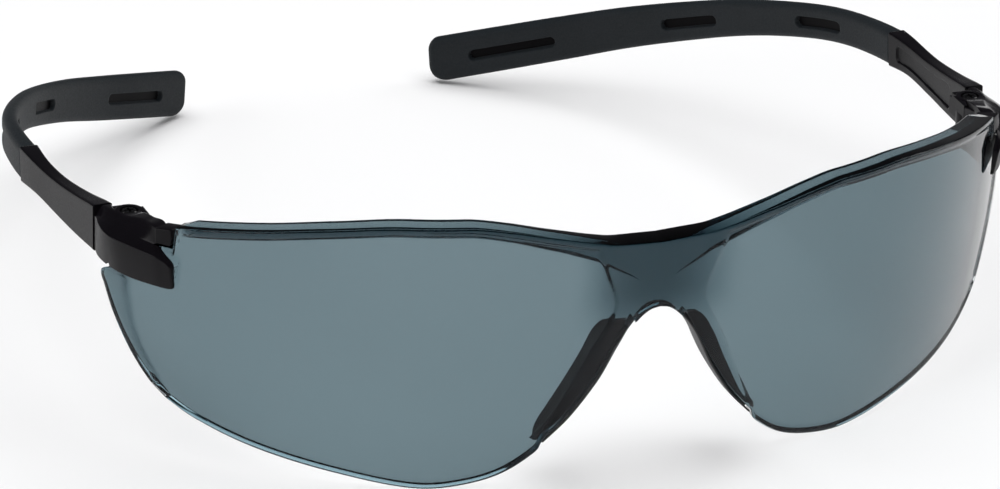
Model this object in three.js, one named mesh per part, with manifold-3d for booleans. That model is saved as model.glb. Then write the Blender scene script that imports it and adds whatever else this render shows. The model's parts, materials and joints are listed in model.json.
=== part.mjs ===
// Wraparound safety glasses: a one-piece smoke lens with a brow ledge, two soft nose pads,
// two end pieces that grip the lens corners, two hinge screws, and two folding temples.
// Each temple is a hard arm whose core runs on inside a slotted rubber sleeve.
//
// Millimetres, +Z up. The glasses stand on the lens rims and the temple tips and look
// towards -Y. X is zero on the mirror plane, and the wearer's left is +X. Shapes are
// worked out with Y zero on the hinge axes, then the whole is moved onto its origin.
import * as THREE from 'three';
import { mergeVertices } from 'three/addons/utils/BufferGeometryUtils.js';
import Module from 'manifold-3d';

// ---- Driving dimensions ----
const ORIGIN_TO_HINGE_Y = -34.31; // hinge axes, seen from the centre of the footprint
const GROUND_LIFT = 0.07;         // raises the lowest rim onto the ground
const HINGE_X = 67.5;             // hinge axis from the mirror plane
const GAP = 0.3;                  // clearance between neighbouring pieces

const LENS_THICKNESS = 2.2;
const LENS_FRONT_Y = -40.6;       // lens face on the mirror plane, at mid height
const LENS_WRAP = 38.0;           // how far the face sweeps back at LENS_HALF
const LENS_HALF = 71.4;
const LENS_WRAP_POWER = 3.15;
const LENS_TILT = 0.14;           // forward lean per millimetre of height
const LENS_MID_Z = 22;
const LENS_UPRIGHT_RADIUS = 160;
const LENS_SWEEP = 1.2;           // how much further back the upper ends reach
const BRIDGE_SETBACK = 0.3;
const BROW_LEDGE_DEPTH = 3.9;     // front to back, over the lens thickness
const BRIDGE_EXTRA = 1.7;         // extra thickness behind the bridge

const SPLIT_Y = 4.3;              // joint line between end piece and temple arm
const EAR_RADIUS = 2.2;
const KNUCKLE_RADIUS = 2.0;
const SCREW_RADIUS = 0.6;
const SCREW_HEAD_RADIUS = 1.2;
const HINGE_LEVELS = {            // bottom to top along the hinge axis
  lowerEar: 28.8, knuckle: 30.8, upperEar: 33.8, headSeat: 34.9, earTop: 35.8,
};

const SLEEVE_START = 31.0;        // distance along the temple where the rubber begins
const SLEEVE_WALL = 0.55;
const CORE_EDGE = 1.1;             // rubber above and below the core
const SLOT_HEIGHT = 1.6;
const TIP_STRAIGHT = 12;          // straight run at the end of each temple
const TIP_RAKE = 0.22;            // forward rake of the tip's end edge

// ---- Small tools ----
const wasm = await Module();
wasm.setup();

const clamp = (value, low, high) => Math.min(high, Math.max(low, value));
const mix = (a, b, t) => a + (b - a) * t;

function smooth(low, high, value) {
  const t = clamp((value - low) / (high - low), 0, 1);
  return t * t * (3 - 2 * t);
}

// A smooth curve y(x) through points sorted by x, flat past both ends.
function graph(points) {
  const slope = points.map(([x, y], i) => {
    const [x0, y0] = points[Math.max(i - 1, 0)];
    const [x1, y1] = points[Math.min(i + 1, points.length - 1)];
    const rise = y0 === y || y1 === y ? 0 : (y1 - y0) / (x1 - x0);
    return i === 0 || i === points.length - 1 ? (y1 - y0) / (x1 - x0) : rise;
  });
  return (x) => {
    const last = points.length - 1;
    if (x <= points[0][0]) return points[0][1];
    if (x >= points[last][0]) return points[last][1];
    const i = points.findIndex(([px]) => px > x) - 1;
    const [x0, y0] = points[i];
    const [x1, y1] = points[i + 1];
    const w = x1 - x0;
    const t = (x - x0) / w;
    const bend0 = slope[i] * w;
    const bend1 = slope[i + 1] * w;
    return y0 * (1 + 2 * t) * (1 - t) ** 2 + bend0 * t * (1 - t) ** 2
      + y1 * t * t * (3 - 2 * t) + bend1 * t * t * (t - 1);
  };
}

// A closed body lofted through rings of equal point count, with both end rings capped. A fan
// from the middle caps them, or, where the ring doubles back on itself, strips across it.
function loft(rings, doubled = false) {
  const size = rings[0].length;
  const positions = rings.flat().flatMap((p) => [p.x, p.y, p.z]);
  const index = [];
  for (let r = 0; r + 1 < rings.length; r++) {
    for (let i = 0; i < size; i++) {
      const a = r * size + i;
      const b = r * size + (i + 1) % size;
      index.push(a, b, a + size, b, b + size, a + size);
    }
  }
  const lastRing = (rings.length - 1) * size;
  if (doubled) {
    for (let i = 0; i < size / 2 - 1; i++) {
      const [a, b, c, d] = [i, i + 1, size - 2 - i, size - 1 - i];
      index.push(a, c, b, a, d, c);
      index.push(...[a, b, c, a, c, d].map((corner) => lastRing + corner));
    }
  } else {
    const first = rings.length * size;
    for (const ring of [rings[0], rings.at(-1)]) {
      const centre = ring.reduce((sum, p) => sum.add(p), new THREE.Vector3()).divideScalar(size);
      positions.push(centre.x, centre.y, centre.z);
    }
    for (let i = 0; i < size; i++) {
      const j = (i + 1) % size;
      index.push(first, j, i, first + 1, lastRing + i, lastRing + j);
    }
  }
  const geometry = new THREE.BufferGeometry();
  geometry.setAttribute('position', new THREE.Float32BufferAttribute(positions, 3));
  geometry.setIndex(index);
  return geometry;
}

function toSolid(geometry) {
  const bare = geometry.clone();
  bare.deleteAttribute('normal');
  bare.deleteAttribute('uv');
  const merged = mergeVertices(bare, 1e-4);
  const mesh = new wasm.Mesh({
    numProp: 3,
    vertProperties: new Float32Array(merged.attributes.position.array),
    triVerts: new Uint32Array(merged.index.array),
  });
  const solid = new wasm.Manifold(mesh);
  if (solid.volume() > 0) return solid;
  for (let i = 0; i < mesh.triVerts.length; i += 3) {
    const keep = mesh.triVerts[i];
    mesh.triVerts[i] = mesh.triVerts[i + 1];
    mesh.triVerts[i + 1] = keep;
  }
  return new wasm.Manifold(mesh);
}

function toGeometry(solid) {
  const mesh = solid.getMesh();
  const geometry = new THREE.BufferGeometry();
  geometry.setAttribute('position', new THREE.BufferAttribute(mesh.vertProperties, 3));
  geometry.setIndex(new THREE.BufferAttribute(mesh.triVerts, 1));
  return geometry;
}

const subtractAll = (solid, cutters) => cutters.reduce((left, cut) => left.subtract(cut), solid);
const addAll = (solids) => solids.reduce((left, next) => left.add(next));

function boxSolid(low, high) {
  const size = new THREE.Vector3().subVectors(high, low);
  const box = new THREE.BoxGeometry(size.x, size.y, size.z);
  box.translate(low.x + size.x / 2, low.y + size.y / 2, low.z + size.z / 2);
  return toSolid(box);
}

function upright(radius, bottom, top, sides = 28) {
  const cylinder = new THREE.CylinderGeometry(radius, radius, top - bottom, sides);
  cylinder.rotateX(Math.PI / 2);
  cylinder.translate(HINGE_X, 0, (bottom + top) / 2);
  return toSolid(cylinder);
}

// ---- Lens ----
const lensOutline = graph([[0, 28.2], [1.6, 27.8], [3.2, 26.5], [4.8, 24.3], [8.6, 17.1], [12.7, 10.7],
  [17, 5.9], [22, 2.2], [28, 0.4], [34, 0], [44, 1.9], [55.5, 4.6], [62, 7.2], [65.2, 9.4]]);
// The edge is drawn back where each nose pad wraps it. The ends of the notch are along x.
const PAD_NOTCH = { rise: 1.6, top: [3.6, 4.1], bottom: [16.6, 17.1] };

function lensLow(x) {
  const { rise, top, bottom } = PAD_NOTCH;
  return lensOutline(x) + rise * smooth(...top, x) * (1 - smooth(...bottom, x));
}

const browTop = graph([[0, 39], [7.4, 39.5], [16.9, 41.7], [24, 43.4], [30, 44.2], [38, 44.2],
  [48.2, 42.9], [57, 40.7], [65.2, 38.3]]);
const lensHalfWidth = graph([[0, 65.2], [0.1, 67.2], [0.28, 69.4], [0.5, 71.2], [0.66, 72],
  [0.75, 72.2], [0.81, 71.1], [1, 71]]);
// The top corner is notched for the end piece, in two steps.
const LENS_CORNER = { start: 65.0, end: 65.3 };
const notchTop = graph([[66.6, 34.9], [67.8, 33.4]]);

function lensTop(x) {
  return mix(browTop(x), notchTop(x), smooth(LENS_CORNER.start, LENS_CORNER.end, x));
}

function lensFaceY(x, z) {
  const side = Math.abs(x);
  const wrap = LENS_WRAP * (side / LENS_HALF) ** LENS_WRAP_POWER;
  const rise = z - LENS_MID_Z;
  const bridge = BRIDGE_SETBACK * (1 - smooth(4, 9, side)) * smooth(12, 22, z);
  const swept = LENS_SWEEP * smooth(70.2, 72.2, side) * smooth(22, 28, z);
  return LENS_FRONT_Y + wrap + swept + bridge - rise * LENS_TILT
    + rise ** 2 / (2 * LENS_UPRIGHT_RADIUS);
}

// A point set back from the lens face by depth, square to the face.
function lensPoint(x, z, depth) {
  const step = 0.05;
  const slopeX = (lensFaceY(x + step, z) - lensFaceY(x - step, z)) / (2 * step);
  const slopeZ = (lensFaceY(x, z + step) - lensFaceY(x, z - step)) / (2 * step);
  const back = new THREE.Vector3(-slopeX, 1, -slopeZ).normalize();
  return new THREE.Vector3(x, lensFaceY(x, z), z).addScaledVector(back, depth);
}

// The ledge along the brow is low at the sides and grows down to the bridge.
const ledgeHeight = graph([[3, 7], [5, 5.6], [6.6, 4.6], [8, 3.9], [12, 3], [16, 2.5], [25, 1.9],
  [39, 1.7]]);

function lensThickness(x, z) {
  const atBridge = smooth(22, 31, z) * (1 - smooth(1, 14, Math.abs(x)));
  return LENS_THICKNESS + BRIDGE_EXTRA * atBridge;
}

// Columns run from side to side and rows from the lower rim to the brow. The rows nearest
// the brow carry the ledge, which grows out of the back of the lens.
function lensGeometry(grow = 0) {
  const rows = 7;
  const corner = LENS_CORNER.start / lensHalfWidth(1);
  const cornerEnd = LENS_CORNER.end / lensHalfWidth(1);
  const [padTop, padBottom] = [PAD_NOTCH.top, PAD_NOTCH.bottom].map(
    (ends) => ends.map((x) => x / lensHalfWidth(0)));
  const half = [...stationsBetween(0, padTop[0], 0.02), ...stationsBetween(padTop[1], padBottom[0], 0.022),
    ...stationsBetween(padBottom[1], corner, 0.034), ...stationsBetween(cornerEnd, 1, 0.025)];
  const columns = [...half.slice(1).reverse().map((t) => -t), ...half];
  const front = [];
  const back = [];
  for (const t of columns) {
    const low = lensLow(Math.abs(t) * lensHalfWidth(0));
    const top = lensTop(Math.abs(t) * lensHalfWidth(1));
    const side = Math.abs(t) * lensHalfWidth(1);
    const drop = ledgeHeight(side);
    const ledge = [drop + 0.7, drop, drop * 0.96, 0];
    const levels = [];
    for (let r = 0; r < rows; r++) levels.push(mix(low, top - ledge[0], r / (rows - 1)));
    levels.push(...ledge.slice(1).map((height) => top - height));
    const ledgeFade = 1 - smooth(64, LENS_CORNER.start, side);
    const frontColumn = [];
    const backColumn = [];
    levels.forEach((level, r) => {
      const x = t * (lensHalfWidth((level - low) / (top - low)) + grow);
      const z = level + (r === levels.length - 1 ? grow : 0) - (r === 0 ? grow : 0);
      const thickness = lensThickness(x, z);
      const onLedge = Math.max(BROW_LEDGE_DEPTH, thickness + 0.1);
      const depth = r > rows ? mix(thickness, onLedge, ledgeFade) : thickness;
      frontColumn.push(lensPoint(x, z, -grow));
      backColumn.push(lensPoint(x, z, depth + grow));
    });
    front.push(frontColumn);
    back.push(backColumn);
  }
  const rings = front.map((column, c) => [...column, ...back[c].slice().reverse()]);
  return loft(rings, true);
}

// ---- Nose pads ----
// A base strip behind the lens rim, and a plate that runs back and flares off the nose.
const noseEdge = graph([[5, 17.9], [7, 16], [10.7, 12.7], [17.1, 8.6], [24.3, 4.8], [27, 2.6]]);
const PAD = { top: 25.8, bottom: 6.6, base: 3.5, plate: 0.9, depth: 5.6, flare: 1, skin: 0.3, wrap: 2 };

function nosePad() {
  const stations = 14;
  const rings = [];
  for (let i = 0; i <= stations; i++) {
    const t = i / stations;
    const z = mix(PAD.top, PAD.bottom, t);
    const fullness = Math.sqrt(clamp(1 - (2 * t - 1) ** 6, 0.06, 1));
    const depth = PAD.depth * fullness * mix(1, 0.62, t * t);
    const base = PAD.base * mix(0.7, 1, fullness) * mix(1, 0.4, t * t);
    const flare = PAD.flare * depth / PAD.depth;
    const edge = noseEdge(z);
    const outline = [[0, -PAD.wrap], [PAD.skin, -PAD.wrap], [PAD.skin, 0], [base, 0], [base, 0.7],
      [PAD.plate + 0.5, 1.0],
      [flare * 0.55 + PAD.plate, depth * 0.55], [flare + PAD.plate * 0.8, depth * 0.96],
      [flare + PAD.plate * 0.3, depth], [flare - 0.1, depth * 0.93], [flare * 0.3, depth * 0.5],
      [0, 0.9]];
    rings.push(outline.map(([side, back]) => {
      const onLens = lensPoint(edge + side, z, lensThickness(edge + side, z) + GAP);
      return onLens.add(new THREE.Vector3(0, back, 0));
    }));
  }
  return toSolid(loft(rings));
}

// ---- Temples ----
// The centre line of the wearer's-left temple, from the joint line to the straight tip run.
const TEMPLE_LINE = new THREE.CatmullRomCurve3([
  [70.2, 4.6, 31.6], [70.7, 12, 30.6], [71.2, 21, 29.8], [71.5, 32, 29.3], [70.7, 43, 28.0],
  [68.8, 53, 26.3], [65.6, 62, 24.1], [60.6, 72.2, 21.0], [54.8, 81.6, 17.4], [47.8, 89.8, 13.9],
  [40.2, 96.8, 10.4], [31.0, 103.3, 7.0],
].map((p) => new THREE.Vector3(...p)), false, 'centripetal');
const LINE_LENGTH = TEMPLE_LINE.getLength();
const TEMPLE_LENGTH = LINE_LENGTH + TIP_STRAIGHT;
const armHeight = graph([[0, 7.3], [8, 6.4], [17, 5.4], [24, 5.1], [31, 5.6]]);
const armThickness = graph([[0, 3.0], [8, 2.5], [17, 2.2], [24, 2.3], [31, 2.9]]);
const templeHeight = graph([[31, 5.6], [60, 5.7], [90, 6.7], [110, 7.4], [140, 7.6]]);
const templeThickness = graph([[31, 2.9], [45, 2.5], [70, 2.4], [140, 2.4]]);
const SLOTS = [[46.5, 57.5], [75, 86], [106, 121]];  // along the temple

function templeFrame(along) {
  const inLine = clamp(along / LINE_LENGTH, 0, 1);
  const place = TEMPLE_LINE.getPointAt(inLine);
  const ahead = TEMPLE_LINE.getTangentAt(inLine);
  place.addScaledVector(ahead, Math.min(0, along) + Math.max(0, along - LINE_LENGTH));
  const outward = new THREE.Vector3().crossVectors(ahead, new THREE.Vector3(0, 0, 1)).normalize();
  const up = new THREE.Vector3().crossVectors(outward, ahead).normalize();
  return { place, ahead, outward, up };
}

// One cross-section of a temple, with rounded corners. Top and bottom may shrink apart.
function templeRing(along, thickness, top, bottom, corner) {
  const { place, ahead, outward, up } = templeFrame(along);
  const half = thickness / 2;
  const round = Math.min(corner, half * 0.98, (top - bottom) / 2.05);
  const rake = TIP_RAKE * smooth(TEMPLE_LENGTH - 14, TEMPLE_LENGTH, along);
  const ring = [];
  const corners = [[1, 1, 0], [-1, 1, 90], [-1, -1, 180], [1, -1, 270]];
  for (const [sideX, sideZ, start] of corners) {
    for (const turn of [0, 30, 60, 90]) {
      const angle = THREE.MathUtils.degToRad(start + turn);
      const across = sideX * (half - round) + round * Math.cos(angle);
      const edge = sideZ > 0 ? top - round : bottom + round;
      const height = edge + round * Math.sin(angle);
      ring.push(place.clone().addScaledVector(outward, across).addScaledVector(up, height)
        .addScaledVector(ahead, -rake * height));
    }
  }
  return ring;
}

function stationsBetween(start, end, step) {
  const count = Math.max(1, Math.round((end - start) / step));
  return Array.from({ length: count + 1 }, (_, i) => mix(start, end, i / count));
}

// Height left at a rounded end, a distance short of the end, for a corner of some radius.
function cornerDrop(toEnd, radius) {
  if (toEnd >= radius) return 0;
  return radius - Math.sqrt(radius ** 2 - (radius - toEnd) ** 2);
}

function sleeve() {
  const end = TEMPLE_LENGTH;
  const places = [...stationsBetween(SLEEVE_START + GAP, end - 4, 3.2), end - 2.4, end - 1.2,
    end - 0.5, end - 0.12, end];
  const skin = places.map((along) => {
    const half = templeHeight(along) / 2;
    const top = half - cornerDrop(end - along, 1.7);
    const bottom = -half + cornerDrop(end - along, 3.2);
    const thickness = templeThickness(along) - 2 * cornerDrop(end - along, 0.9);
    return templeRing(along, thickness, top, bottom, 1.1);
  });
  const boreEnd = end - 6;
  const bore = stationsBetween(SLEEVE_START - 1, boreEnd + GAP, 4).map((along) => {
    const half = templeHeight(along) / 2 - CORE_EDGE;
    return templeRing(along, templeThickness(along) - 2 * SLEEVE_WALL, half, -half, 0.3);
  });
  const slots = SLOTS.map(([from, to]) => {
    const rings = stationsBetween(from, to, 2.2)
      .map((along) => templeRing(along, templeThickness(along) + 2, SLOT_HEIGHT / 2, -SLOT_HEIGHT / 2,
        0.35));
    return toSolid(loft(rings));
  });
  return subtractAll(toSolid(loft(skin)), [toSolid(loft(bore)), ...slots]);
}

function templeArm() {
  const skin = stationsBetween(-1.5, SLEEVE_START, 2.4).map((along) => {
    const half = armHeight(along) / 2;
    return templeRing(along, armThickness(along), half, -half, 0.8);
  });
  const aheadOfSplit = boxSolid(new THREE.Vector3(60, -5, 20), new THREE.Vector3(80, SPLIT_Y, 45));
  const core = stationsBetween(SLEEVE_START - 1.5, TEMPLE_LENGTH - 6, 3.6).map((along) => {
    const half = templeHeight(along) / 2 - CORE_EDGE - GAP;
    return templeRing(along, templeThickness(along) - 2 * SLEEVE_WALL - 2 * GAP, half, -half, 0.25);
  });
  const { knuckle, upperEar } = HINGE_LEVELS;
  const barrel = upright(KNUCKLE_RADIUS, knuckle, upperEar - GAP);
  const neck = boxSolid(new THREE.Vector3(HINGE_X - 0.6, 0.8, knuckle),
    new THREE.Vector3(HINGE_X + 2.7, SPLIT_Y + 1.6, upperEar - GAP));
  const shaft = toSolid(loft(skin)).subtract(aheadOfSplit);
  const body = addAll([shaft, toSolid(loft(core)), barrel, neck]);
  const earRoom = [
    upright(EAR_RADIUS + GAP, HINGE_LEVELS.upperEar - GAP, 40),
    upright(EAR_RADIUS + GAP, 24, knuckle),
  ];
  const panel = stationsBetween(7, SLEEVE_START - 3, 3).map((along) => {
    const { place, outward, up } = templeFrame(along);
    const inner = -armThickness(along) / 2;
    const half = armHeight(along) / 2 - 1.4;
    return [[inner - 1, half], [inner - 1, -half], [inner + 0.3, -half], [inner + 0.3, half]]
      .map(([across, height]) => place.clone().addScaledVector(outward, across)
        .addScaledVector(up, height));
  });
  const bore = upright(SCREW_RADIUS + GAP, 25, 40, 20);
  return subtractAll(body, [...earRoom, toSolid(loft(panel)), bore]);
}

// ---- End pieces ----
// Stations from the joint line round the lens corner to the toe of the foot. Each has the
// outer face in plan, the way inward, the low edge and the crease, the lip, the ridge, and the
// reach. The section goes up the face to the crease, up a bevel to the lip, on to the ridge,
// and over to its reach. Lip and ridge are [depth, z].
const END_STATIONS = [
  [[71.5, 4], [-1, 0], [28.3, 33.7], [0.5, 34.3], [1.1, 35.3], 2.5],
  [[72.1, 0.8], [-1, 0.05], [28.4, 34], [1, 34.7], [2.2, 35.7], 3],
  [[72.3, -2.2], [-1, 0.15], [28.4, 34], [1.3, 34.9], [3.3, 35.9], 6.3],
  [[71.7, -5.1], [-0.93, 0.37], [28.4, 33.9], [1.3, 34.8], [3.8, 36.3], 6.3],
  [[70.2, -8.2], [-0.86, 0.51], [28.3, 33.8], [1.3, 34.8], [3.4, 36.8], 5.4],
  [[68.1, -11.7], [-0.82, 0.57], [28.4, 33.5], [1.2, 34.9], [1.6, 37.2], 3.8],
  [[66.8, -13.3], [-0.8, 0.6], [28.4, 33], [0.7, 33.6], [0.7, 33.6], 1.2],
  [[66, -14.2], [-0.8, 0.6], [28.6, 32.2], [0.5, 32.6], [0.5, 32.6], 1.2],
];
const BODY_END = 5;      // the station where the body stops and only the foot goes on
const FOOT_REACH = 1.5;
const UNDERCUT = 0.7;        // how far the low edge is drawn in from the crease
// Plans with the height of the top at each point: the tab that fills the notch in the lens,
// and the inner block that backs the lens corner.
const TAB = [[65.5, -13.1, 37.8], [67.3, -10.9, 37.5], [64.6, -8.9, 37.2], [62.9, -11.1, 37.5]];
const TAB_LOW = 35.1;
const BLOCK = [[69.2, -2.5, 34.6], [68.6, -6, 35.4], [66.6, -8.9, 36.4], [65.6, -8.1, 36.4],
  [65.3, -5.5, 36], [65.1, -2.5, 35.4]];
const EAR_PLATES = [[[65.1, -3.2], [68.6, 0.8], 35.7], [[66.2, 0.5], [69.8, 3.7], 35]];

// Smooth curves through the stations' values, each as a function of the station's number.
const stationCurve = (...path) => graph(
  END_STATIONS.map((station, i) => [i, path.reduce((value, key) => value[key], station)]));
const endCurves = {
  faceX: stationCurve(0, 0), faceY: stationCurve(0, 1),
  wayX: stationCurve(1, 0), wayY: stationCurve(1, 1),
  low: stationCurve(2, 0), crease: stationCurve(2, 1),
  lipDepth: stationCurve(3, 0), lipZ: stationCurve(3, 1),
  ridgeDepth: stationCurve(4, 0), ridgeZ: stationCurve(4, 1),
  reach: stationCurve(5),
};

// A loft between two stations. The foot is the thin outer plate alone.
function endLoft(from, to, isFoot) {
  return toSolid(loft(stationsBetween(from, to, 0.25).map((s) => {
    const c = Object.fromEntries(Object.entries(endCurves).map(([key, curve]) => [key, curve(s)]));
    const inward = new THREE.Vector3(c.wayX, c.wayY, 0).normalize();
    const at = (depth, z) => new THREE.Vector3(c.faceX, c.faceY, z).addScaledVector(inward, depth);
    const lipDepth = isFoot ? Math.min(c.lipDepth, FOOT_REACH - 0.3) : c.lipDepth;
    const undercut = UNDERCUT * smooth(0.5, 2.5, s);
    const outer = [at(undercut + 0.2, c.low), at(undercut * 0.95, c.low + 0.3), at(0, c.crease),
      at(lipDepth, c.lipZ)];
    const inner = isFoot ? [at(FOOT_REACH, c.lipZ), at(FOOT_REACH, c.low)]
      : [at(c.ridgeDepth, c.ridgeZ), at(c.reach, c.ridgeZ), at(c.reach, c.low)];
    return [...outer, ...inner];
  })));
}

// An upright block over a plan whose points carry the height of their top.
function planBlock(plan, low) {
  return toSolid(loft([plan.map(([x, y]) => new THREE.Vector3(x, y, low)),
    plan.map((p) => new THREE.Vector3(...p))]));
}

function endPiece(lensRoom) {
  const { lowerEar, knuckle, upperEar, headSeat, earTop } = HINGE_LEVELS;
  const ears = [upright(EAR_RADIUS, lowerEar, knuckle - GAP), upright(EAR_RADIUS, upperEar, earTop)];
  const plates = EAR_PLATES.map(([from, to, top]) => boxSolid(
    new THREE.Vector3(...from, upperEar), new THREE.Vector3(...to, top)));
  const knuckleRoom = upright(KNUCKLE_RADIUS + GAP, knuckle - GAP, upperEar);
  const neckRoom = boxSolid(new THREE.Vector3(HINGE_X - 5, 0, knuckle - GAP),
    new THREE.Vector3(HINGE_X + 3, SPLIT_Y + 1, upperEar));
  const bore = upright(SCREW_RADIUS + 0.15, lowerEar + 0.8, earTop + 1, 20);
  const headRoom = upright(SCREW_HEAD_RADIUS + 0.2, headSeat, earTop + 1);
  const body = addAll([endLoft(0, BODY_END, false), endLoft(BODY_END - 1, END_STATIONS.length - 1, true),
    planBlock(TAB, TAB_LOW), planBlock(BLOCK, lowerEar), ...plates, ...ears]);
  return subtractAll(body, [lensRoom, knuckleRoom, neckRoom, bore, headRoom]);
}

// ---- Hinge screws ----
function hingeScrew() {
  const { lowerEar, headSeat, earTop } = HINGE_LEVELS;
  const seat = headSeat + 0.15;
  const crown = earTop;
  const profile = [[0, lowerEar + 1], [SCREW_RADIUS, lowerEar + 1], [SCREW_RADIUS, seat],
    [SCREW_HEAD_RADIUS, seat], [SCREW_HEAD_RADIUS, crown - 0.3], [SCREW_HEAD_RADIUS - 0.35, crown],
    [0, crown]].map(([radius, z]) => new THREE.Vector2(radius, z));
  const turned = new THREE.LatheGeometry(profile, 24);
  turned.rotateX(Math.PI / 2);
  turned.translate(HINGE_X, 0, 0);
  const cross = [[0.75, 0.16], [0.16, 0.75]].map(([x, y]) => boxSolid(
    new THREE.Vector3(HINGE_X - x, -y, crown - 0.45),
    new THREE.Vector3(HINGE_X + x, y, crown + 1)));
  return subtractAll(toSolid(turned), cross);
}

// ---- Assembly ----
const MATERIALS = {
  lens: { color: 0x5d7077, roughness: 0.05, metalness: 0, transparent: true, opacity: 0.55 },
  pad: { color: 0x1b1a1d, roughness: 0.7, metalness: 0 },
  hardPlastic: { color: 0x2a272c, roughness: 0.35, metalness: 0 },
  rubber: { color: 0x2c3438, roughness: 0.8, metalness: 0 },
  screw: { color: 0x26262a, roughness: 0.3, metalness: 0.9 },
};

const assembly = new THREE.Group();
assembly.position.set(0, ORIGIN_TO_HINGE_Y, GROUND_LIFT);

function addPiece(name, geometry, material) {
  const mesh = new THREE.Mesh(geometry, new THREE.MeshStandardMaterial(MATERIALS[material]));
  mesh.name = name;
  assembly.add(mesh);
}

const lensRoom = toSolid(lensGeometry(GAP));
addPiece('lens', toGeometry(toSolid(lensGeometry())), 'lens');

const pairs = [
  ['nose_pad', nosePad(), 'pad'],
  ['end_piece', endPiece(lensRoom), 'hardPlastic'],
  ['hinge_screw', hingeScrew(), 'screw'],
  ['temple_arm', templeArm(), 'hardPlastic'],
  ['temple_sleeve', sleeve(), 'rubber'],
];
for (const [name, solid, material] of pairs) {
  addPiece(`${name}_left`, toGeometry(solid), material);
  addPiece(`${name}_right`, toGeometry(solid.mirror([1, 0, 0])), material);
}

const group = new THREE.Group();
group.add(assembly);

export default group;
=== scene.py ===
"""Wraparound safety glasses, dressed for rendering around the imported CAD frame.

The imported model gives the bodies, the hinge axes and each node's place. This script rebuilds
every piece as a fine mesh from the CAD's curves, with rounded edges, and gives each one a
procedural material. The notch in the lens edge at each pad is 0.3 mm shallower than the CAD's,
and the pad's skin is a little thicker and longer, so that they meet without a visible gap.

Shapes are worked out in millimetres in the hinge frame: X is zero on the mirror plane with
the wearer's left at +X, Y is zero on the hinge axes, and Z is zero at the lowest rim.
"""
import json
import math

import bmesh
import bpy
import numpy as np
from mathutils import Matrix, Vector


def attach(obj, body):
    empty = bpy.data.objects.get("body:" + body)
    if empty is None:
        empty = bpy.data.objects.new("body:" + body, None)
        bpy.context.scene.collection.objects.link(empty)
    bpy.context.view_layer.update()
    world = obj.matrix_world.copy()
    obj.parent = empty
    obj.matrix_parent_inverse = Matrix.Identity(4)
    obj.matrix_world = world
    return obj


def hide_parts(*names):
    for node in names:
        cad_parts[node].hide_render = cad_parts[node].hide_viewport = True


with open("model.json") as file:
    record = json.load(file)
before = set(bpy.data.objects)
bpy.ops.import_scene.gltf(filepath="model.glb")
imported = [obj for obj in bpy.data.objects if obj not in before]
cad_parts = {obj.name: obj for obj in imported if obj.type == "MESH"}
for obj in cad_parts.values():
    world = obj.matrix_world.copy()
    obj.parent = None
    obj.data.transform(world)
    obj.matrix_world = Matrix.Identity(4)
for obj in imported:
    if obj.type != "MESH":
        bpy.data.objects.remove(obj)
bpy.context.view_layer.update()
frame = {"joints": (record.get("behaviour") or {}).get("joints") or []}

MM = 0.001
SIDES = ("left", "right")
HINGE = Vector(frame["joints"][0]["pos_m"]) / MM
GROUND_LIFT = 0.07
ORIGIN = np.array([0.0, HINGE.y, GROUND_LIFT])
GAP = 0.3


# ---- Small tools ----
def mix(a, b, t):
    return a + (b - a) * t


def smooth(low, high, value):
    t = np.clip((np.asarray(value, float) - low) / (high - low), 0, 1)
    return t * t * (3 - 2 * t)


def graph(points):
    """A smooth curve y(x) through points sorted by x, flat past both ends."""
    xs, ys = np.array(points, float).T
    last = len(xs) - 1
    slope = np.zeros(last + 1)
    for i in range(last + 1):
        before, after = max(i - 1, 0), min(i + 1, last)
        at_end = i in (0, last)
        if at_end or (ys[before] != ys[i] and ys[after] != ys[i]):
            slope[i] = (ys[after] - ys[before]) / (xs[after] - xs[before])

    def value(x):
        x = np.clip(np.asarray(x, float), xs[0], xs[last])
        i = np.clip(np.searchsorted(xs, x, side="right") - 1, 0, last - 1)
        width = xs[i + 1] - xs[i]
        t = (x - xs[i]) / width
        rise = ys[i] * (1 + 2 * t) * (1 - t) ** 2 + slope[i] * width * t * (1 - t) ** 2
        return rise + ys[i + 1] * t * t * (3 - 2 * t) + slope[i + 1] * width * t * t * (t - 1)

    return value


def steps(start, end, size):
    """Evenly spaced values from start to end, about size apart."""
    return np.linspace(start, end, max(2, round(abs(end - start) / size) + 1))


def joined(*runs):
    """Runs of values end to end, with the values that two runs share kept once."""
    return np.unique(np.round(np.concatenate(runs), 5))


def arc(start, count=5):
    """Angles over a quarter turn."""
    return np.radians(np.linspace(start, start + 90, count))


def face_outward(mesh):
    """Turns a closed mesh's faces outward."""
    shape = bmesh.new()
    shape.from_mesh(mesh)
    inside_out = shape.calc_volume(signed=True) < 0
    shape.free()
    if inside_out:
        mesh.flip_normals()


def make_object(name, points, faces, materials, face_slots=None):
    """A smooth-shaded mesh object from millimetre points in the hinge frame."""
    mesh = bpy.data.meshes.new(name)
    mesh.from_pydata(((points + ORIGIN) * MM).tolist(), [], faces)
    mesh.polygons.foreach_set("use_smooth", [True] * len(mesh.polygons))
    for material in materials:
        mesh.materials.append(material)
    if face_slots is not None:
        mesh.polygons.foreach_set("material_index", face_slots)
    mesh.update()
    face_outward(mesh)
    made = bpy.data.objects.new(name, mesh)
    bpy.context.scene.collection.objects.link(made)
    return made


def ring_faces(rings, size):
    """Quads between rings of size points each, and a strip of quads over each end ring."""
    faces = []
    for r in range(rings - 1):
        for i in range(size):
            j = (i + 1) % size
            a, b = r * size, (r + 1) * size
            faces.append((a + i, a + j, b + j, b + i))
    last = (rings - 1) * size
    for i in range(size // 2 - 1):
        far = size - 1 - i
        faces.append((i, far, far - 1, i + 1))
        faces.append((last + i, last + i + 1, last + far - 1, last + far))
    return faces


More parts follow.
